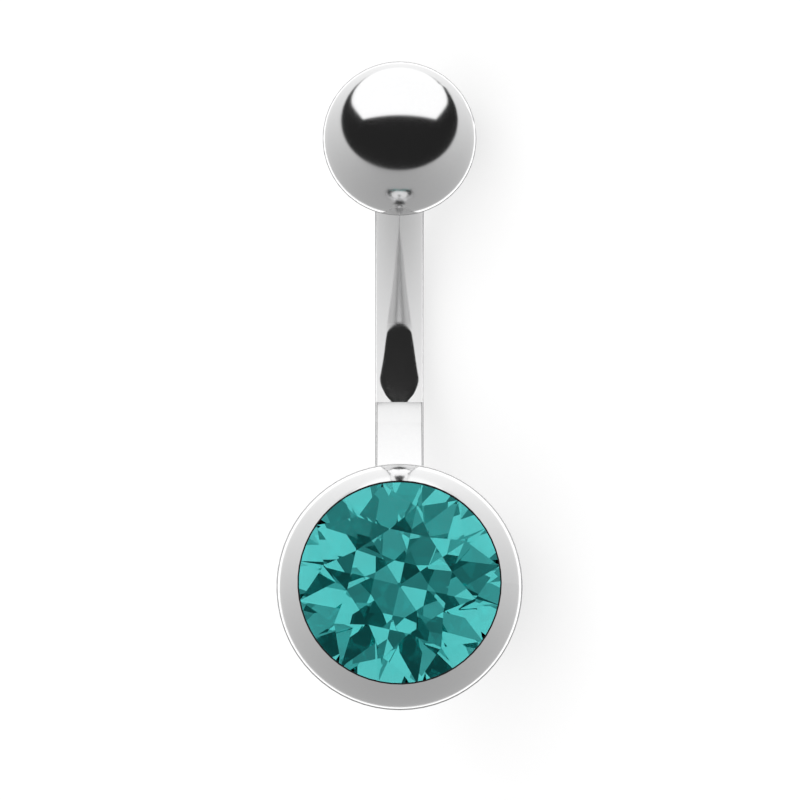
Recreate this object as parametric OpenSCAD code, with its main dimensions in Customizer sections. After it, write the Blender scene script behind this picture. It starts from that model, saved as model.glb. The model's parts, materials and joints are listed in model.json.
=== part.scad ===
// Navel ring: a curved steel bar with a gem set in its fixed lower ball and a plain upper ball that screws on.
// Lengths are in millimetres and angles in degrees.
// The ring lies on a surface at z = 0 as it comes to rest by itself, on both balls and the back of its bar.
// +X runs from the gem ball to the top ball, and the gem faces up and towards -Y.

/* [Bar] */
// Thickness of the bar, 14 gauge
bar_d = 1.6; // [1.2:0.1:2]
// Length of the bar along its curve, from the gem ball to the top ball
bar_length = 10; // [8:0.5:14]
// Radius of the bar's curve at its centre line
bend_radius = 8.15; // [7.5:0.05:11]
// How far the bar's root reaches into the gem ball that it is welded to
bar_root = 1.2; // [0.8:0.1:1.6]

/* [Threaded end] */
// Core thickness of the bar's threaded end, inside the top ball
post_d = 1.06; // [0.9:0.02:1.1]
// Length of the threaded end
post_length = 2.8; // [2:0.1:3]
// Bevel on the tip of the threaded end
post_bevel = 0.15; // [0.05:0.05:0.25]

/* [Top ball] */
// Diameter of the plain top ball
top_ball_d = 5; // [4.5:0.5:6]
// Gap all round between the threaded end and the hole in the top ball
hole_clearance = 0.07; // [0.04:0.01:0.1]
// Room left at the bottom of the hole, past the tip of the threaded end
hole_spare = 0.3; // [0.1:0.05:0.5]
// Width of the bevel round the mouth of the hole
hole_bevel = 0.1; // [0.05:0.01:0.12]
// Gap between the bar's shoulder and the flat land of the top ball
seat_gap = 0.02; // [0.01:0.01:0.05]

/* [Gem ball] */
// Diameter of the gem ball
gem_ball_d = 8; // [7.5:0.5:10]
// How far the gem leans towards the top ball, from square to the bar's chord
gem_lean = 9.5; // [0:0.5:20]
// How far the rim stands above the widest line of the gem
lip_height = 0.45; // [0.35:0.05:0.6]
// How far the rim closes in over the gem's edge
lip_overlap = 0.03; // [0.01:0.01:0.1]
// Width of the flat on top of the rim
lip_land = 0.05; // [0.03:0.01:0.1]
// Gap all round between the gem and its cup
cup_clearance = 0.04; // [0.02:0.01:0.08]
// Radius of the flat bottom of the cup
cup_bottom_r = 0.35; // [0.25:0.05:0.5]
// Room left at the bottom of the cup, under the gem's point
cup_spare = 0.12; // [0.08:0.02:0.2]

/* [Gem] */
// Diameter of the round brilliant gem
gem_d = 6.5; // [6:0.1:7]
// Diameter of the table, the flat on top, across its corners
table_d = 3.4; // [3.2:0.1:4.2]
// Angle of the main crown facets
crown_angle = 33; // [28:1:36]
// Angle of the main pavilion facets
pavilion_angle = 42.5; // [38:0.5:44]
// Height of the gem's round edge
girdle_height = 0.15; // [0.1:0.01:0.25]
// Radius of the blunted point under the gem
culet_r = 0.08; // [0.04:0.02:0.15]
// Share of the crown that the star facets reach across
star_share = 0.5; // [0.4:0.05:0.6]
// Share of the pavilion that the lower girdle facets reach across
lower_share = 0.65; // [0.6:0.05:0.85]
// Turn of the gem in its cup
gem_turn = 10; // [0:1:44]

/* [Hidden] */
$fn = 96;

// The brilliant cut has eight main facets above the girdle and eight below.
// Two girdle facets lie between each main and the next, and their edges follow the round girdle in short steps.
mains = 8;
girdle_steps = 4;
step = 360 / mains;
per_main = 2 * girdle_steps;
ring = mains * per_main;

bar_r = bar_d / 2;
post_r = post_d / 2;
top_ball_r = top_ball_d / 2;
gem_ball_r = gem_ball_d / 2;
gem_r = gem_d / 2;
table_r = table_d / 2;
cutter = 2 * gem_ball_d;

// Construction frame: x to the side, y towards the bar's back and z along its chord to the top ball.
// The centre of the bar's curve is its origin.
half_turn = bar_length / bend_radius * 90 / PI;
root_turn = bar_root / bend_radius * 180 / PI;
top_end = [0, bend_radius * cos(half_turn), bend_radius * sin(half_turn)];
top_out = [0, -sin(half_turn), cos(half_turn)];
gem_end = [0, bend_radius * cos(half_turn), -bend_radius * sin(half_turn)];
gem_out = [0, -sin(half_turn), -cos(half_turn)];

// Each ball's centre lies on the line on which the bar leaves it
land_reach = sqrt(top_ball_r * top_ball_r - bar_r * bar_r);
weld_reach = sqrt(gem_ball_r * gem_ball_r - bar_r * bar_r);
top_centre = top_end + (land_reach + seat_gap) * top_out;
gem_centre = gem_end + weld_reach * gem_out;
hole_r = post_r + hole_clearance;
hole_depth = post_length + hole_spare;

// Heights in the gem ball are measured from its centre along the gem's axis
gem_axis = [0, -cos(gem_lean), sin(gem_lean)];
opening_r = gem_r - lip_overlap;
rim_r = opening_r + lip_land;
rim_z = sqrt(gem_ball_r * gem_ball_r - rim_r * rim_r);
girdle_z = rim_z - lip_height - girdle_height;
cup_r = gem_r + cup_clearance;

// Heights on the gem are measured from the lower edge of its girdle, apart from the crown's
crown_height = (gem_r - table_r) * tan(crown_angle);
star_r = table_r + star_share * (gem_r - table_r);
star_height = (gem_r - star_r * cos(step / 2)) * tan(crown_angle);
star_angle = atan((crown_height - star_height) / (star_r - table_r * cos(step / 2)));
upper_angle = atan(star_height / ((gem_r - star_r) * cos(step / 4)));
lower_r = gem_r * (1 - lower_share);
lower_depth = (gem_r - lower_r * cos(step / 2)) * tan(pavilion_angle);
lower_angle = atan(lower_depth / ((gem_r - lower_r) * cos(step / 4)));
gem_depth = (gem_r - culet_r) * tan(pavilion_angle);

// The surface that the ring rests on. Its upward normal is found from the three places that touch it.
// Both balls and the bow of the bar touch it once the ring has rolled over on its back.
// mu is the normal's share in the plane of the bar. A flatter bow stays clear, and only the balls touch.
line = (top_centre - gem_centre) / norm(top_centre - gem_centre);
slope = asin((gem_ball_r - top_ball_r) / norm(top_centre - gem_centre));
det = gem_centre.y * top_centre.z - gem_centre.z * top_centre.y;
function in_plane(p, q) = [
    (p * top_centre.z - gem_centre.z * q) / det,
    (gem_centre.y * q - p * top_centre.y) / det
];
fixed_part = in_plane(gem_ball_r - bar_r, top_ball_r - bar_r);
mu_part = in_plane(-bend_radius, -bend_radius);
quad_a = mu_part * mu_part - 1;
quad_b = 2 * fixed_part * mu_part;
quad_c = fixed_part * fixed_part;
quad_root = quad_b * quad_b - 4 * quad_a * quad_c;
mu = quad_root < 0 ? 2 : (-quad_b + sqrt(quad_root)) / (2 * quad_a);
normal_in_plane = fixed_part + mu_part * mu;
bow_touches = mu <= 1;
up = bow_touches
    ? [-sqrt(1 - mu * mu), normal_in_plane.x, normal_in_plane.y]
    : cos(slope) * [0, -line.z, line.y] - sin(slope) * line;
along = (line - (line * up) * up) / norm(line - (line * up) * up);
across = cross(up, along);

// The origin is under the middle of the ring's box
front_cos = -across * gem_axis;
front_reach = front_cos > rim_z / gem_ball_r
    ? rim_z * front_cos + rim_r * sqrt(1 - front_cos * front_cos)
    : gem_ball_r;
shift = [
    (gem_ball_r - top_ball_r - along * gem_centre - along * top_centre) / 2,
    (front_reach - gem_ball_r) / 2 - across * gem_centre,
    gem_ball_r - up * gem_centre
];

// Lays a shape made in the construction frame on the surface
module laid() {
    multmatrix([
        [along.x, along.y, along.z, shift.x],
        [across.x, across.y, across.z, shift.y],
        [up.x, up.y, up.z, shift.z],
        [0, 0, 0, 1]
    ])
    children();
}

// The gem ball's own axis, from its centre out through the gem
module on_gem_axis() {
    translate(gem_centre)
    rotate([90 - gem_lean, 0, 0])
    children();
}

// The top ball's own axis, from the bar's shoulder out through the ball
module on_top_axis() {
    translate(top_end)
    rotate([half_turn, 0, 0])
    children();
}

// The bar's curve, from inside the gem ball to the shoulder under the top ball
module curved_bar() {
    rotate([0, 90, 0])
    rotate([0, 0, 90 - half_turn - root_turn])
    rotate_extrude(angle = 2 * half_turn + root_turn)
    translate([bend_radius, 0])
    circle(r = bar_r);
}

// The end that the top ball screws on, with its core rooted in the bar
module threaded_end() {
    root = bar_r / 2;
    rotate_extrude()
    polygon([
        [0, -root],
        [post_r, -root],
        [post_r, post_length - post_bevel],
        [post_r - post_bevel, post_length],
        [0, post_length]
    ]);
}

// The hollow that the gem sits in, with a lip that closes in over the gem's edge
module cup() {
    rotate_extrude()
    polygon([
        [0, girdle_z - gem_depth - cup_spare],
        [cup_bottom_r, girdle_z - gem_depth - cup_spare],
        [cup_r, girdle_z - cup_clearance],
        [cup_r, girdle_z + girdle_height + cup_clearance],
        [opening_r, rim_z],
        [opening_r, gem_ball_r + lip_height],
        [0, gem_ball_r + lip_height]
    ]);
}

module bar_with_gem_ball() {
    color([0.80, 0.81, 0.82])
    laid()
    difference() {
        union() {
            curved_bar();
            on_top_axis() threaded_end();
            on_gem_axis() difference() {
                sphere(r = gem_ball_r);
                translate([0, 0, rim_z + cutter / 2]) cube(cutter, center = true);
            }
        }
        on_gem_axis() cup();
    }
}

// The hole drilled into the top ball from its land, with a bevelled mouth and a drill point
module ball_hole() {
    mouth_r = hole_r + hole_bevel;
    rotate_extrude()
    polygon([
        [0, -bar_r],
        [mouth_r, -bar_r],
        [mouth_r, seat_gap],
        [hole_r, seat_gap + hole_bevel],
        [hole_r, hole_depth],
        [0, hole_depth + hole_r / 2]
    ]);
}

module top_ball() {
    color([0.80, 0.81, 0.82])
    laid()
    on_top_axis()
    difference() {
        translate([0, 0, land_reach + seat_gap]) sphere(r = top_ball_r);
        translate([0, 0, seat_gap - cutter / 2]) cube(cutter, center = true);
        ball_hole();
    }
}

// A point of the gem at a radius, a turn about its axis and a height
function around(r, turn, z) = [r * cos(turn), r * sin(turn), z];

// How far the girdle bulges past the straight line between the ends of its girdle facet, at step i of the ring
function bulge(i) = gem_r * (cos((i % girdle_steps) * 360 / ring - step / 4) - cos(step / 4));

// Numbers of the gem's points: table, star points, girdle's upper and lower edge, lower points and culet
function table_at(k) = k % mains;
function star_at(k) = mains + (k + mains) % mains;
function upper_at(i) = 2 * mains + i % ring;
function lower_at(i) = 2 * mains + ring + i % ring;
function deep_at(k) = 2 * mains + 2 * ring + (k + mains) % mains;
function culet_at(k) = 3 * mains + 2 * ring + (k + mains) % mains;

module gem() {
    gem_points = concat(
        [for (k = [0 : mains - 1]) around(table_r, k * step, girdle_height + crown_height)],
        [for (k = [0 : mains - 1]) around(star_r, (k + 0.5) * step, girdle_height + star_height)],
        [for (i = [0 : ring - 1]) around(gem_r, i * 360 / ring, girdle_height - bulge(i) * tan(upper_angle))],
        [for (i = [0 : ring - 1]) around(gem_r, i * 360 / ring, bulge(i) * tan(lower_angle))],
        [for (k = [0 : mains - 1]) around(lower_r, (k + 0.5) * step, -lower_depth)],
        [for (k = [0 : mains - 1]) around(culet_r / cos(step / 2), (k + 0.5) * step, -gem_depth)]
    );
    table_face = [for (k = [mains - 1 : -1 : 0]) table_at(k)];
    culet_face = [for (k = [0 : mains - 1]) culet_at(k)];
    main_faces = [for (k = [0 : mains - 1]) each [
        [table_at(k), table_at(k + 1), star_at(k)],
        [table_at(k), star_at(k), upper_at(k * per_main), star_at(k - 1)],
        [lower_at(k * per_main), deep_at(k), culet_at(k), culet_at(k - 1), deep_at(k - 1)]
    ]];
    girdle_faces = [for (k = [0 : mains - 1], h = [0 : girdle_steps : girdle_steps]) each [
        [star_at(k), for (i = [girdle_steps : -1 : 0]) upper_at(k * per_main + h + i)],
        [deep_at(k), for (i = [0 : girdle_steps]) lower_at(k * per_main + h + i)]
    ]];
    edge_faces = [for (i = [0 : ring - 1]) [upper_at(i), upper_at(i + 1), lower_at(i + 1), lower_at(i)]];
    color([0.16, 0.66, 0.64])
    laid()
    on_gem_axis()
    translate([0, 0, girdle_z])
    rotate([0, 0, gem_turn])
    polyhedron(gem_points, concat([table_face, culet_face], main_faces, girdle_faces, edge_faces));
}

bar_with_gem_ball();
top_ball();
gem();
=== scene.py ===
import json
import math
import bmesh
import bpy
from mathutils import Matrix, Vector


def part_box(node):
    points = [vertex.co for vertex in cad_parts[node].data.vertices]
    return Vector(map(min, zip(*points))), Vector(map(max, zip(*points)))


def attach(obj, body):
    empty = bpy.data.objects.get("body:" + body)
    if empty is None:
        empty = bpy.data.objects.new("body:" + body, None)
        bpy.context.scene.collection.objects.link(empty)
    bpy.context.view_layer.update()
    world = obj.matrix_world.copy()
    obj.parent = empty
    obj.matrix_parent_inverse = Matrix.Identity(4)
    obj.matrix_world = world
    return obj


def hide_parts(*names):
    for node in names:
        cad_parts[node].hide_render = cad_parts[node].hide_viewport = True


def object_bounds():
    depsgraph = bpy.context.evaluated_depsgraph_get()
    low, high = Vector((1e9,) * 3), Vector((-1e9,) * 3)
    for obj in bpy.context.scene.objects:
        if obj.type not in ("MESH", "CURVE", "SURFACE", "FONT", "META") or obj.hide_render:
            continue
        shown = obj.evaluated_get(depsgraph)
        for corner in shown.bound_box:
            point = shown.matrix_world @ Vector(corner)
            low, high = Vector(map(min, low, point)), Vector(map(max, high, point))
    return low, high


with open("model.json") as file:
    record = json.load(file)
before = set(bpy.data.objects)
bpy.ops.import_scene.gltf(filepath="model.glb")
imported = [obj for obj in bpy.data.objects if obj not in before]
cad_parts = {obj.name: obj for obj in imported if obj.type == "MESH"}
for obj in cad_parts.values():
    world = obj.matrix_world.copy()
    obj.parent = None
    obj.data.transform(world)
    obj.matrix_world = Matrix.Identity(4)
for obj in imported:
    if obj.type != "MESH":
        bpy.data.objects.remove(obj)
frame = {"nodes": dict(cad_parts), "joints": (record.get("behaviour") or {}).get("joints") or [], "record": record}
cad_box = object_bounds()

# Bar with gem ball: one piece of surgical steel, polished all over.
# The bar is bent from 1.6 mm rod. The 8 mm ball is welded on and turned out as a cup for the gem,
# with a smooth rim pressed in over the gem's edge.
STEEL_TONE = (0.715, 0.715, 0.715, 1.0)
STEEL_TONE_SHADE = (0.68, 0.68, 0.685, 1.0)
POLISH = 0.10
POLISH_WORN = 0.16

# How many to the metre, their detail and their roughness.
GRAIN = (9000, 2.0, 0.6)
SMEARS = (420, 3.0, 0.55)
SCRATCHES = (2600, 4.0, 0.7)
SMEAR_FAINT = 0.35
SMEAR_HEAVY = 0.75
SCRATCHES_DRAWN_OUT = (1.0, 0.06, 1.0)
SCRATCHES_SLANT = (0.5, 0.2, 0.9)
SCRATCH_DEPTH = 0.0000006
SCRATCH_STRENGTH = 0.25

# The mirror turns dull in a thin line where it is seen this nearly edge-on: 0 is square, 1 is edge-on.
EDGE_LINE_FROM = 0.85
EDGE_LINE_AT = 0.88
EDGE_LINE_DULLNESS = 1.0

GEM_BALL_R = 0.004
top_low, top_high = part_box("top_ball")
top_centre = (top_low + top_high) / 2
gem_centre = Vector((cad_box[0].x + GEM_BALL_R, top_centre.y, GEM_BALL_R))
ball_line = (top_centre - gem_centre).normalized()
bar_middle = Vector(frame["record"]["mounts"][0]["pos_m"])
bar_foot = gem_centre + (bar_middle - gem_centre).dot(ball_line) * ball_line
hollow_side = (bar_foot - bar_middle).normalized()
crosswise = ball_line.cross(hollow_side)


def add_node(tree, kind, inputs=None, **settings):
    """Adds a node with its options, and sets or links each of its named inputs."""
    made = tree.nodes.new(kind)
    for option, value in settings.items():
        setattr(made, option, value)
    for socket, value in (inputs or {}).items():
        if isinstance(value, bpy.types.NodeSocket):
            tree.links.new(value, made.inputs[socket])
        else:
            made.inputs[socket].default_value = value
    return made


def number(tree, operation, *values):
    """One step of arithmetic."""
    return add_node(tree, "ShaderNodeMath", dict(enumerate(values)), operation=operation).outputs["Value"]


def dot(tree, first, second):
    """How far one direction points along another."""
    return add_node(tree, "ShaderNodeVectorMath", {
        0: first, 1: second}, operation="DOT_PRODUCT").outputs["Value"]


def ramp(tree, value, start, end, low=0.0, high=1.0, **settings):
    """Goes from low to high as the value goes from start to end."""
    return add_node(tree, "ShaderNodeMapRange", {
        "Value": value, "From Min": start, "From Max": end, "To Min": low, "To Max": high},
        **settings).outputs["Result"]


def choose(tree, share, first, second, **settings):
    """The first number or tone where the share is 0, the second where it is 1."""
    return add_node(tree, "ShaderNodeMix", {
        "Factor": share, "A": first, "B": second}, **settings).outputs["Result"]


def cloud(tree, place, per_metre, detail, roughness):
    """Soft random shares from 0 to 1."""
    return add_node(tree, "ShaderNodeTexNoise", {
        "Vector": place, "Scale": per_metre, "Detail": detail, "Roughness": roughness}).outputs["Fac"]


def polished_steel(name, offset):
    """Mirror polish with a fine grain, faint hairlines and soft smears of handling."""
    steel = bpy.data.materials.new(name)
    steel.use_nodes = True
    tree = steel.node_tree
    shader = tree.nodes["Principled BSDF"]
    shader.inputs["Specular IOR Level"].default_value = 0.0
    place = add_node(tree, "ShaderNodeTexCoord").outputs["Object"]
    moved = add_node(tree, "ShaderNodeMapping", {"Vector": place, "Location": offset}).outputs["Vector"]
    drawn = add_node(tree, "ShaderNodeMapping", {
        "Vector": moved, "Scale": SCRATCHES_DRAWN_OUT, "Rotation": SCRATCHES_SLANT}).outputs["Vector"]
    grain = cloud(tree, moved, *GRAIN)
    smear = cloud(tree, moved, *SMEARS)
    hairline = cloud(tree, drawn, *SCRATCHES)

    grazing = add_node(tree, "ShaderNodeLayerWeight", {"Blend": 0.5}).outputs["Facing"]
    inside_edge = ramp(tree, grazing, EDGE_LINE_FROM, EDGE_LINE_AT, 1.0, 0.0)
    inside_edge.node.name = "edge_line"
    tone = choose(tree, grain, STEEL_TONE_SHADE, STEEL_TONE, data_type="RGBA")
    polish = ramp(tree, smear, SMEAR_FAINT, SMEAR_HEAVY, POLISH, POLISH_WORN)
    polish = choose(tree, inside_edge, EDGE_LINE_DULLNESS, polish)
    relief = number(tree, "ADD", grain, hairline)
    bump = add_node(tree, "ShaderNodeBump", {
        "Height": relief, "Strength": SCRATCH_STRENGTH, "Distance": SCRATCH_DEPTH}).outputs["Normal"]
    shader.inputs["Metallic"].default_value = 1.0
    tree.links.new(tone, shader.inputs["Base Color"])
    tree.links.new(polish, shader.inputs["Roughness"])
    tree.links.new(bump, shader.inputs["Normal"])
    return steel


# The tone on the inside of the bow is brightened with painted light, most towards the gem ball, and darkened with
# painted shade at the foot.
# The wheel leaves a drop-shaped hollow strip along the inside of the bow, with full bright sides beside it.
# The places are metres from the gem ball's centre, along the line to the top ball's.
BAR_FROM = GEM_BALL_R - 0.0001
FOOT_TURN_FROM = 0.0053
FOOT_TURN_FULL = 0.0054
STRIP_FOOT = 0.0060
STRIP_WIDEST = 0.0068
STRIP_DARK_TO = 0.0083
STRIP_PALE_FROM = 0.0087
STRIP_PALE_TO = 0.0113
STRIP_TIP = 0.0120

# The strip's half widths, as shares of the bar's, and how full its curves to the tip and the foot are.
STRIP_HALF = 0.80
STRIP_FOOT_HALF = 0.30
STRIP_LEAST_HALF = 0.02
STRIP_TIP_CURVE = 1.15
STRIP_FOOT_CURVE = 2.0
STRIP_EDGE_SOFT = 0.03

# How far the surface turns, as sines: sideways in the strip, beside it and at the foot, and along the bar.
STRIP_SIDE_TURN = 0.73
SIDES_TURN = 0.62
SIDES_ROUND = 0.35
FOOT_FLATNESS = 0.3
PALE_STRIP_TURN = -0.46
PALE_STRIP_TIP_TURN = -0.05
FOOT_TURN = 0.065

# From this share of the way out to the bar's outlines, the surface goes back to the round rod's.
OUTLINE_FROM = 0.9
OUTLINE_SURE = 0.94
OUTLINE_FULL = 0.97
BAR_OUTLINE = 1.03
STEEPEST_TURN = 0.995

# Painted light and shade in the bar's tone, the polish of the finished parts, and where the dull line at the bar's
# outlines lies.
BAR_PAINTED_LIGHT = 1.44
BAR_TOP_PAINTED_LIGHT = 1.08
FOOT_PAINTED_SHADE = 0.88
PALE_STRIP_DULLNESS = 0.22
BAR_LINE_FROM = 0.72
BAR_LINE_AT = 0.76

# A surface that faces the top ball more than this is the gem ball's, not the rod's. The finish and the
# painted light on the inside of the bow fade out softly round the rod.
ROD_FACES_UP_TO = 0.8
BOW_EDGE_SOFT = 0.05
NEARLY_NOTHING = 0.0001


def strip_half_width(tree, reach):
    """The strip's half width as a share of the bar's, at a reach from the gem ball's centre."""
    to_tip = number(tree, "POWER", ramp(tree, reach, STRIP_TIP, STRIP_WIDEST), STRIP_TIP_CURVE)
    to_tip = number(tree, "MULTIPLY", to_tip, STRIP_HALF)
    to_foot = number(tree, "POWER", ramp(tree, reach, STRIP_WIDEST, STRIP_FOOT), STRIP_FOOT_CURVE)
    to_foot = choose(tree, to_foot, STRIP_HALF, STRIP_FOOT_HALF)
    return number(tree, "MAXIMUM", number(tree, "MINIMUM", to_tip, to_foot), STRIP_LEAST_HALF)


def side_turn(tree, off_middle, strip, above_foot):
    """How far the finished surface turns sideways, at a share of the way from the middle to the outline.

    It turns evenly up to the strip's edge, stays steep beside it, and is nearly flat at the foot.
    """
    steep = number(tree, "DIVIDE", number(tree, "MULTIPLY", off_middle, STRIP_SIDE_TURN), strip)
    beside = number(tree, "MULTIPLY_ADD", off_middle, SIDES_ROUND, SIDES_TURN)
    flat = number(tree, "MULTIPLY", off_middle, FOOT_FLATNESS)
    buffed = choose(tree, above_foot, flat, number(tree, "MINIMUM", steep, beside))
    fuller = ramp(tree, off_middle, OUTLINE_FROM, OUTLINE_FULL, 1.0, BAR_OUTLINE)
    outline = number(tree, "MINIMUM", number(tree, "MULTIPLY", off_middle, fuller), STEEPEST_TURN)
    return choose(tree, ramp(tree, off_middle, OUTLINE_FROM, OUTLINE_SURE), buffed, outline)


def scaled(tree, direction, length):
    """A direction times a length."""
    return add_node(tree, "ShaderNodeVectorMath", {
        0: direction, "Scale": length}, operation="SCALE").outputs["Vector"]


def moved_along(tree, start, direction, length):
    """The start moved by a length along a direction."""
    return add_node(tree, "ShaderNodeVectorMath", {
        0: start, 1: scaled(tree, direction, length)}, operation="ADD").outputs["Vector"]


def turned_sideways(tree, facing, sideways, wanted):
    """The surface's direction with its sideways part made the wanted one, and still of length 1."""
    left_over = number(tree, "SUBTRACT", 1.0, number(tree, "MULTIPLY", sideways, sideways))
    wanted_over = number(tree, "SUBTRACT", 1.0, number(tree, "MULTIPLY", wanted, wanted))
    left_over = number(tree, "MAXIMUM", left_over, NEARLY_NOTHING)
    keep = number(tree, "SQRT", number(tree, "DIVIDE", wanted_over, left_over))
    swing = number(tree, "SUBTRACT", wanted, number(tree, "MULTIPLY", sideways, keep))
    return moved_along(tree, scaled(tree, facing, keep), crosswise, swing)


def buff_bar_with_painted_light(steel):
    """Finishes the inside of the bar's bow as the wheel leaves it, paints light and shade into its tone there, and
    keeps its outlines as they are.
    """
    tree = steel.node_tree
    shader = tree.nodes["Principled BSDF"]
    place = add_node(tree, "ShaderNodeTexCoord").outputs["Object"]
    facing = add_node(tree, "ShaderNodeNewGeometry").outputs["Normal"]
    reach = number(tree, "SUBTRACT", dot(tree, place, ball_line), gem_centre.dot(ball_line))
    sideways = dot(tree, facing, crosswise)
    off_middle = number(tree, "ABSOLUTE", sideways)
    on_rod = number(tree, "LESS_THAN", dot(tree, facing, ball_line), ROD_FACES_UP_TO)
    on_bar = number(tree, "MULTIPLY", on_rod, number(tree, "GREATER_THAN", reach, BAR_FROM))
    on_hollow_side = ramp(tree, dot(tree, facing, hollow_side), -BOW_EDGE_SOFT, BOW_EDGE_SOFT)
    inside_bow = number(tree, "MULTIPLY", on_bar, on_hollow_side)
    above_foot = number(tree, "GREATER_THAN", reach, STRIP_FOOT)

    # Painted light in the tone: the bow's inside brighter towards the gem ball, painted shade at the foot. The
    # thin dull lines at the outlines.
    painted_light_along_strip = ramp(tree, reach, STRIP_TIP, STRIP_FOOT, BAR_TOP_PAINTED_LIGHT, BAR_PAINTED_LIGHT)
    painted_shade_at_foot = ramp(tree, reach, STRIP_FOOT, GEM_BALL_R, FOOT_PAINTED_SHADE, 1.0)
    painted_light_and_shade = choose(tree, inside_bow, 1.0, choose(tree, above_foot, painted_shade_at_foot, painted_light_along_strip))
    tone = shader.inputs["Base Color"].links[0].from_socket
    tone = choose(tree, 1.0, tone, painted_light_and_shade, data_type="RGBA", blend_type="MULTIPLY")
    tree.links.new(tone, shader.inputs["Base Color"])
    edge_line = tree.nodes["edge_line"]
    tree.links.new(choose(tree, on_bar, EDGE_LINE_FROM, BAR_LINE_FROM), edge_line.inputs["From Min"])
    tree.links.new(choose(tree, on_bar, EDGE_LINE_AT, BAR_LINE_AT), edge_line.inputs["From Max"])

    # The turn sideways, which makes the strip.
    strip = strip_half_width(tree, reach)
    wanted = side_turn(tree, off_middle, strip, above_foot)
    wanted = number(tree, "MULTIPLY", number(tree, "SIGN", sideways), wanted)
    wanted = choose(tree, inside_bow, sideways, wanted)
    turned = turned_sideways(tree, facing, sideways, wanted)

    # The turn along the bar: down in the strip's pale end, up at the foot. The pale end is duller.
    within = ramp(tree, number(tree, "SUBTRACT", off_middle, strip), STRIP_EDGE_SOFT, -STRIP_EDGE_SOFT)
    in_pale_end = number(tree, "MULTIPLY", within, ramp(tree, reach, STRIP_DARK_TO, STRIP_PALE_FROM))
    polish = shader.inputs["Roughness"].links[0].from_socket
    on_pale_end = number(tree, "MULTIPLY", in_pale_end, on_bar)
    duller = number(tree, "MULTIPLY_ADD", on_pale_end, PALE_STRIP_DULLNESS, polish)
    tree.links.new(duller, shader.inputs["Roughness"])
    pale_turn = ramp(tree, reach, STRIP_PALE_FROM, STRIP_PALE_TO, PALE_STRIP_TURN, PALE_STRIP_TIP_TURN)
    foot_turn = ramp(tree, reach, FOOT_TURN_FROM, FOOT_TURN_FULL, 0.0, FOOT_TURN)
    foot_turn = choose(tree, above_foot, foot_turn, 0.0)
    lift = number(tree, "MULTIPLY_ADD", in_pale_end, pale_turn, foot_turn)
    turned = moved_along(tree, turned, ball_line, number(tree, "MULTIPLY", lift, inside_bow))
    turned = add_node(tree, "ShaderNodeVectorMath", {0: turned}, operation="NORMALIZE").outputs["Vector"]
    bump = shader.inputs["Normal"].links[0].from_node
    tree.links.new(turned, bump.inputs["Normal"])


# The bar's steel has painted light and shade in its tone on the inside of the bow.
bar_steel = polished_steel("bar_steel_polished_painted_light", (0.0, 0.0, 0.0))
buff_bar_with_painted_light(bar_steel)
frame["nodes"]["bar_with_gem_ball"].data.materials[0] = bar_steel

# Thread: the screw thread cut on the bar's end, of the bar's own steel.
# It is a fine ridge that winds round the core, and it shows when the top ball is off.
TOP_BALL_R = 0.0025
BAR_R = 0.0008
CORE_R = 0.00053
SHOULDER_GAP = 0.00002
THREAD_PITCH = 0.00025
THREAD_LENGTH = 0.0024
THREAD_START = 0.0002
RIDGE_HALF = 0.00005
RIDGE_CORNERS = 4
TURN_STEPS = 24
slide_axis = Vector(frame["joints"][0]["axis"]).normalized()
shoulder = top_centre - (math.sqrt(TOP_BALL_R ** 2 - BAR_R ** 2) + SHOULDER_GAP) * slide_axis


def winding():
    """Node group: a ridge wound round the z axis, from its turns, height, radius and half thickness."""
    group = bpy.data.node_groups.new("winding", "GeometryNodeTree")
    sockets = group.interface
    for name in ("Turns", "Height", "Radius", "Half Thickness"):
        sockets.new_socket(name, in_out="INPUT", socket_type="NodeSocketFloat")
    sockets.new_socket("Steps a Turn", in_out="INPUT", socket_type="NodeSocketInt")
    sockets.new_socket("Material", in_out="INPUT", socket_type="NodeSocketMaterial")
    sockets.new_socket("Geometry", in_out="OUTPUT", socket_type="NodeSocketGeometry")
    given = add_node(group, "NodeGroupInput").outputs
    spiral = add_node(group, "GeometryNodeCurveSpiral", {
        "Resolution": given["Steps a Turn"], "Rotations": given["Turns"], "Height": given["Height"],
        "Start Radius": given["Radius"], "End Radius": given["Radius"]}).outputs["Curve"]
    outline = add_node(group, "GeometryNodeCurvePrimitiveCircle", {
        "Resolution": RIDGE_CORNERS, "Radius": given["Half Thickness"]}, mode="RADIUS").outputs["Curve"]
    ridge = add_node(group, "GeometryNodeCurveToMesh", {
        "Curve": spiral, "Profile Curve": outline, "Fill Caps": True}).outputs["Mesh"]
    real = add_node(group, "GeometryNodeRealizeInstances", {"Geometry": ridge}).outputs["Geometry"]
    done = add_node(group, "GeometryNodeSetMaterial", {
        "Geometry": real, "Material": given["Material"]}).outputs["Geometry"]
    add_node(group, "NodeGroupOutput", {"Geometry": done})
    return group


thread_maker = bpy.data.objects.new("thread_maker", bpy.data.meshes.new("thread_maker"))
bpy.context.scene.collection.objects.link(thread_maker)
wound = thread_maker.modifiers.new("winding", "NODES")
wound.node_group = winding()
thread_sizes = {
    "Turns": THREAD_LENGTH / THREAD_PITCH, "Height": THREAD_LENGTH, "Radius": CORE_R,
    "Half Thickness": RIDGE_HALF, "Steps a Turn": TURN_STEPS, "Material": bar_steel}
for socket in wound.node_group.interface.items_tree:
    if socket.in_out == "INPUT":
        wound[socket.identifier] = thread_sizes[socket.name]
ready = bpy.context.evaluated_depsgraph_get()
thread_mesh = bpy.data.meshes.new_from_object(thread_maker.evaluated_get(ready))
thread_maker.modifiers.remove(wound)
bpy.data.objects.remove(thread_maker)
stand_up = Vector((0.0, 0.0, 1.0)).rotation_difference(slide_axis).to_matrix().to_4x4()
thread_mesh.transform(Matrix.Translation(shoulder + THREAD_START * slide_axis) @ stand_up)
thread = bpy.data.objects.new("thread", thread_mesh)
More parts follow.
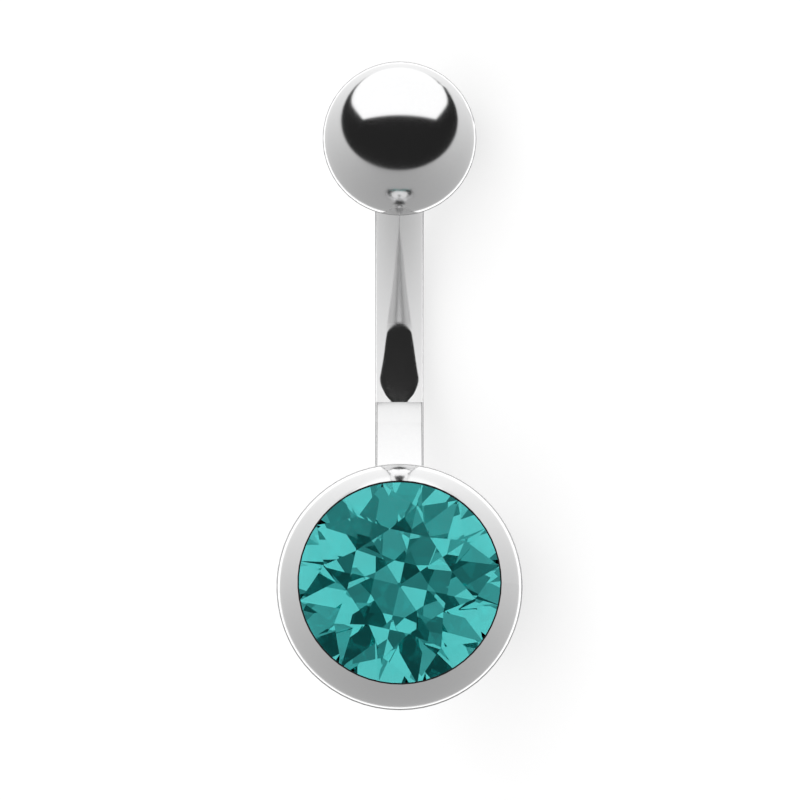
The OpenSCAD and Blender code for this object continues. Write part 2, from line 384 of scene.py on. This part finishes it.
bpy.context.scene.collection.objects.link(thread)
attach(thread, "ring")

# Top ball: a plain 5 mm ball of the same steel, polished to a mirror.
# It is drilled and threaded inside, and screws onto the bar's end down to its shoulder.
BALL_GRAIN_OFFSET = (0.031, 0.017, 0.023)
ball_steel = polished_steel("ball_steel_polished", BALL_GRAIN_OFFSET)
frame["nodes"]["top_ball"].data.materials[0] = ball_steel

# Gem: a round brilliant of teal glass, 6.5 mm across and silvered behind.
# It has a table, 32 crown facets and 24 pavilion facets, and sits in the cup under the pressed rim.
GLASS_BEND = 2.1
GLASS_SHINE = 1.06
GLASS_CLEAR = (1.0, 1.0, 1.0, 1.0)
GLASS_VEIL = (0.96, 1.0, 1.0, 1.0)
VEILS = (900, 2.0, 0.5)
TEAL = (0.01, 0.84, 0.83, 1.0)
TEAL_DEPTH = 250.0
SILVER = (0.93, 0.93, 0.93, 1.0)
SILVER_SHADE = (0.89, 0.90, 0.90, 1.0)
SILVER_PATCHES = (1500, 2.0, 0.5)
SAME_CORNER = 0.000001
SAME_FACET_DEGREES = 0.2
SILVERED_UP_TO = -0.1


def teal_glass():
    """Glass whose colour deepens with the length of the light's way through it.

    Its outside shines only faintly, so that the colour inside is seen.
    """
    glass = bpy.data.materials.new("teal_glass_cut")
    glass.use_nodes = True
    tree = glass.node_tree
    tree.nodes.remove(tree.nodes["Principled BSDF"])
    out = tree.nodes["Material Output"]
    place = add_node(tree, "ShaderNodeTexCoord").outputs["Object"]
    veil = cloud(tree, place, *VEILS)
    clear = choose(tree, veil, GLASS_CLEAR, GLASS_VEIL, data_type="RGBA")
    going_in = add_node(tree, "ShaderNodeBsdfRefraction", {
        "Color": clear, "Roughness": 0.0, "IOR": GLASS_BEND}).outputs["BSDF"]
    shine = add_node(tree, "ShaderNodeBsdfAnisotropic", {
        "Color": GLASS_CLEAR, "Roughness": 0.0}).outputs["BSDF"]
    edge_on = add_node(tree, "ShaderNodeFresnel", {"IOR": GLASS_SHINE}).outputs["Fac"]
    outside = add_node(tree, "ShaderNodeMixShader", {0: edge_on, 1: going_in, 2: shine}).outputs["Shader"]
    inside = add_node(tree, "ShaderNodeBsdfGlass", {
        "Color": clear, "Roughness": 0.0, "IOR": GLASS_BEND}).outputs["BSDF"]
    from_inside = add_node(tree, "ShaderNodeNewGeometry").outputs["Backfacing"]
    surface = add_node(tree, "ShaderNodeMixShader", {0: from_inside, 1: outside, 2: inside})
    depth = add_node(tree, "ShaderNodeVolumeAbsorption", {"Color": TEAL, "Density": TEAL_DEPTH})
    tree.links.new(surface.outputs["Shader"], out.inputs["Surface"])
    tree.links.new(depth.outputs["Volume"], out.inputs["Volume"])
    return glass


def silvering():
    """The mirror film behind the pavilion."""
    silver = bpy.data.materials.new("gem_silvering")
    silver.use_nodes = True
    tree = silver.node_tree
    shader = tree.nodes["Principled BSDF"]
    place = add_node(tree, "ShaderNodeTexCoord").outputs["Object"]
    patches = cloud(tree, place, *SILVER_PATCHES)
    tone = choose(tree, patches, SILVER_SHADE, SILVER, data_type="RGBA")
    tree.links.new(tone, shader.inputs["Base Color"])
    shader.inputs["Metallic"].default_value = 1.0
    shader.inputs["Roughness"].default_value = 0.0
    return silver


cut_gem = bpy.data.objects.new("cut_gem", frame["nodes"]["gem"].data.copy())
bpy.context.scene.collection.objects.link(cut_gem)
cut = bmesh.new()
cut.from_mesh(cut_gem.data)
bmesh.ops.remove_doubles(cut, verts=cut.verts, dist=SAME_CORNER)
same_facet = math.radians(SAME_FACET_DEGREES)
bmesh.ops.dissolve_limit(cut, angle_limit=same_facet, verts=cut.verts, edges=cut.edges)
cut.to_mesh(cut_gem.data)
cut.free()
cut_gem.data.normals_split_custom_set([(0.0, 0.0, 0.0)] * len(cut_gem.data.loops))
cut_gem.data.materials.clear()
cut_gem.data.materials.append(teal_glass())
cut_gem.data.materials.append(silvering())
table = max(cut_gem.data.polygons, key=lambda facet: facet.area)
gem_axis = table.normal.copy()
for facet in cut_gem.data.polygons:
    facet.use_smooth = False
    facet.material_index = 1 if facet.normal.dot(gem_axis) < SILVERED_UP_TO else 0
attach(cut_gem, "ring")
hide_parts("gem")

# Studio: the ring lies on a pale matt surface under one large soft light.
# A wide softbox hangs over it in a dark room, and pale walls stand behind and below.
# Small lamps and dark cards round the camera light the gem's facets.
photo_up = ball_line
towards_camera = hollow_side
photo_right = crosswise
WHITE = 1.0
STEEL_MIRRORS = 0.697

# The walls' tone level with the ring, and how it rises towards the top ball's end.
WALL_TONE = 0.552
WALL_RISE = 0.254
WALL_RISE_MORE = 0.049
WHITE_WALL_FROM_DEGREES = 150
WHITE_WALL_AT_DEGREES = 154
LEAST_SPREAD = 0.001

# The dark room takes in the camera's side, up to over the ring.
ROOM_TONE = 0.016
ROOM_UP = 0.62
ROOM_NEAR = 0.785
ROOM_EDGE_SOFT = 0.03

# The softbox hangs overhead and leans a little to the camera. Its sides spread to the front,
# its back corners are rounded and its front edge is bowed. Its sizes are shares of its height over the ring.
BOX_UP = 0.978
BOX_NEAR = 0.208
BOX_HALF_WIDTH = 1.53
BOX_SPREAD = 0.16
BOX_ROUND_BEHIND = -0.3
BOX_FRONT = 0.98
BOX_FRONT_FADED = 1.10
BOX_FRONT_BOW = 0.10
BOX_SIDE_SOFT = 0.08
BOX_LOWEST = 0.05
BOX_LOW = 0.1
LEAST_HEIGHT = 0.01

world = bpy.data.worlds.new("studio")
bpy.context.scene.world = world
world.use_nodes = True
sky = world.node_tree
sky.nodes.clear()
seen = add_node(sky, "ShaderNodeTexCoord").outputs["Generated"]
side = dot(sky, seen, photo_right)
rise = dot(sky, seen, photo_up)
near = dot(sky, seen, towards_camera)


def fade(value, start, end):
    """Rises softly from 0 at start to 1 at end."""
    return ramp(sky, value, start, end, interpolation_type="SMOOTHSTEP")


def square(value):
    """The value times itself."""
    return number(sky, "MULTIPLY", value, value)


spread = number(sky, "SQRT", number(sky, "ADD", square(side), square(rise)))
clock = number(sky, "DIVIDE", rise, number(sky, "MAXIMUM", spread, LEAST_SPREAD))
wall_slope = number(sky, "MULTIPLY_ADD", clock, WALL_RISE_MORE, WALL_RISE)
walls = number(sky, "MULTIPLY_ADD", wall_slope, clock, WALL_TONE)
walls = number(sky, "DIVIDE", walls, STEEL_MIRRORS)
white_from = math.cos(math.radians(WHITE_WALL_FROM_DEGREES))
white_at = math.cos(math.radians(WHITE_WALL_AT_DEGREES))
walls = choose(sky, fade(near, white_from, white_at), walls, WHITE / STEEL_MIRRORS)

room_facing = dot(sky, seen, ROOM_UP * photo_up + ROOM_NEAR * towards_camera)
in_room = fade(room_facing, -ROOM_EDGE_SOFT, ROOM_EDGE_SOFT)
room = choose(sky, in_room, walls, ROOM_TONE / STEEL_MIRRORS)

box_depth = dot(sky, seen, BOX_UP * photo_up + BOX_NEAR * towards_camera)
box_front = dot(sky, seen, BOX_UP * towards_camera - BOX_NEAR * photo_up)
box_height = number(sky, "MAXIMUM", box_depth, LEAST_HEIGHT)
box_x = number(sky, "ABSOLUTE", number(sky, "DIVIDE", side, box_height))
box_y = number(sky, "DIVIDE", box_front, box_height)
out_sideways = number(sky, "DIVIDE", box_x, number(sky, "MULTIPLY_ADD", box_y, BOX_SPREAD, BOX_HALF_WIDTH))
out_behind = number(sky, "MAXIMUM", number(sky, "SUBTRACT", BOX_ROUND_BEHIND, box_y), 0.0)
out_round = number(sky, "ADD", square(out_sideways), square(out_behind))
front_edge = number(sky, "MULTIPLY_ADD", square(box_x), BOX_FRONT_BOW, box_y)
in_box = fade(out_round, 1 + BOX_SIDE_SOFT, 1 - BOX_SIDE_SOFT)
in_box = number(sky, "MULTIPLY", in_box, fade(front_edge, BOX_FRONT_FADED, BOX_FRONT))
in_box = number(sky, "MULTIPLY", in_box, fade(box_depth, BOX_LOWEST, BOX_LOW))
room = choose(sky, in_box, room, WHITE / STEEL_MIRRORS)

# Each lamp or dark card for the gem is a round patch: degrees from the camera, degrees round it from the
# photo's right, half its width in degrees, and its tone. A later one covers an earlier one.
GEM_ROOM_TONE = 0.5
GEM_SHADE_DEPTH = 1.3
GEM_LAMPS = (
    (60, 90, 30, 1.00),
    (60, 0, 30, 1.00),
    (60, 225, 30, 1.00),
    (30, 180, 15, 0.30),
    (30, 45, 15, 0.30),
    (30, 300, 15, 1.00),
    (15, 135, 10, 1.00),
    (15, 315, 10, 1.00),
    (10, 225, 15, 0.08),
    (10, 45, 10, 0.20),
    (0, 0, 5, 0.08),
    (45, 255, 15, 0.08),
)
gem_light = GEM_ROOM_TONE
for from_camera, round_turn, half_width, tone in GEM_LAMPS:
    out = math.sin(math.radians(from_camera))
    direction = (
        math.cos(math.radians(from_camera)) * towards_camera
        + out * math.cos(math.radians(round_turn)) * photo_right
        + out * math.sin(math.radians(round_turn)) * photo_up)
    patch_edge = math.cos(math.radians(half_width))
    in_patch = number(sky, "GREATER_THAN", dot(sky, seen, direction), patch_edge)
    gem_light = choose(sky, in_patch, gem_light, tone)

# Past the floor the camera sees plain white. The steel mirrors the room, and the gem shows its own lamps,
# with less red in the darker ones.
ray = add_node(sky, "ShaderNodeLightPath")
in_gem = ray.outputs["Is Transmission Ray"]
grey = choose(sky, ray.outputs["Is Camera Ray"], choose(sky, in_gem, room, gem_light), WHITE)
red = choose(sky, in_gem, grey, number(sky, "POWER", gem_light, GEM_SHADE_DEPTH))
light = add_node(sky, "ShaderNodeCombineColor", {"Red": red, "Green": grey, "Blue": grey}).outputs["Color"]
air = add_node(sky, "ShaderNodeBackground", {"Color": light, "Strength": 1.0})
add_node(sky, "ShaderNodeOutputWorld", {"Surface": air.outputs["Background"]})

FLOOR_HALF = 0.6
FLOOR_TONE = (0.30, 0.30, 0.30, 1.0)
FLOOR_GLOW = 0.70
floor_mesh = bpy.data.meshes.new("floor")
corners = [(x * FLOOR_HALF, y * FLOOR_HALF, 0.0) for x, y in ((-1, -1), (1, -1), (1, 1), (-1, 1))]
floor_mesh.from_pydata(corners, [], [(0, 1, 2, 3)])
floor = bpy.data.objects.new("floor", floor_mesh)
bpy.context.scene.collection.objects.link(floor)
pale = bpy.data.materials.new("pale_floor")
pale.use_nodes = True
pale_shader = pale.node_tree.nodes["Principled BSDF"]
pale_shader.inputs["Base Color"].default_value = FLOOR_TONE
pale_shader.inputs["Roughness"].default_value = 1.0
pale_shader.inputs["Specular IOR Level"].default_value = 0.0
pale_shader.inputs["Emission Color"].default_value = (1.0, 1.0, 1.0, 1.0)
pale_shader.inputs["Emission Strength"].default_value = FLOOR_GLOW
floor_mesh.materials.append(pale)
floor.visible_glossy = False
floor.visible_transmission = False
floor.visible_diffuse = False

SOFT_LIGHT_STRENGTH = 2.6
SOFT_LIGHT_WIDTH_DEGREES = 120
lamp = bpy.data.lights.new("soft_light", "SUN")
lamp.energy = SOFT_LIGHT_STRENGTH
lamp.angle = math.radians(SOFT_LIGHT_WIDTH_DEGREES)
soft_light = bpy.data.objects.new("soft_light", lamp)
soft_light.visible_glossy = False
soft_light.visible_transmission = False
bpy.context.scene.collection.objects.link(soft_light)

# Camera: it looks square at the hollow side of the bar, with the top ball at the top of the frame.
# A long lens stands far enough off to keep both balls at their true sizes.
FRAME_HEIGHT = 0.0260
AIM_UP = 0.00607
AIM_RIGHT = 0.000016
LENS_MM = 200
SENSOR_MM = 36
camera_data = bpy.data.cameras.new("camera")
camera_data.lens = LENS_MM
camera_data.sensor_width = SENSOR_MM
camera_data.clip_start = 0.001
camera_data.clip_end = 10.0
camera_distance = FRAME_HEIGHT * LENS_MM / SENSOR_MM
camera = bpy.data.objects.new("camera", camera_data)
bpy.context.scene.collection.objects.link(camera)
bpy.context.scene.camera = camera
aim = gem_centre + AIM_UP * photo_up + AIM_RIGHT * photo_right
turn = Matrix((photo_right, photo_up, towards_camera)).transposed().to_4x4()
camera.matrix_world = Matrix.Translation(aim + camera_distance * towards_camera) @ turn

bpy.context.scene.view_settings.view_transform = "Standard"
bpy.context.scene.cycles.max_bounces = 32
bpy.context.scene.cycles.glossy_bounces = 24
bpy.context.scene.cycles.transmission_bounces = 24
